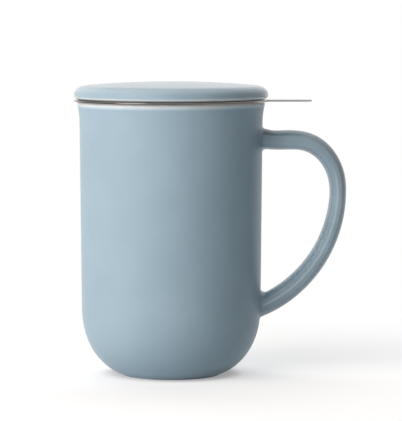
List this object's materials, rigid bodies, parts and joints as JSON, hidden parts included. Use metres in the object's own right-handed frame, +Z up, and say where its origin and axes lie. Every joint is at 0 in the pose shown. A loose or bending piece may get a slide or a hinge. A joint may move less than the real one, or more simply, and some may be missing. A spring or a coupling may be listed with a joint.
{
  "type": "tea mug with infuser and lid",
  "caption": "Tall straight porcelain tea mug with a rounded bottom and loop handle, a lift-out slotted steel infuser with a side tab, and a loose domed lid.",
  "frame": {"origin": "centre of the foot ring, on the surface that the mug stands on", "axes": "+Z up along the mug's axis, +X towards the handle and the infuser's tab, -Y towards the viewer in the picture"},
  "size_m": [0.1281, 0.0912, 0.1379],
  "materials": {
    "glaze": "satin",
    "steel": "satin"
  },
  "bodies": {
    "mug": {"mug_body": "glaze", "handle": "glaze"},
    "infuser": {"infuser_rim": "steel", "infuser_collar": "steel", "strainer_wall": "steel", "base_hoop": "steel", "strainer_base": "steel"},
    "lid": {"lid": "glaze"}
  },
  "joints": [
    {"name": "infuser_lift", "type": "slide", "parent": "mug", "child": "infuser", "axis": [0, 0, 1], "range_m": [0, 0.105]},
    {"name": "lid_lift", "type": "slide", "parent": "infuser", "child": "lid", "axis": [0, 0, 1], "range_m": [0, 0.06]}
  ]
}
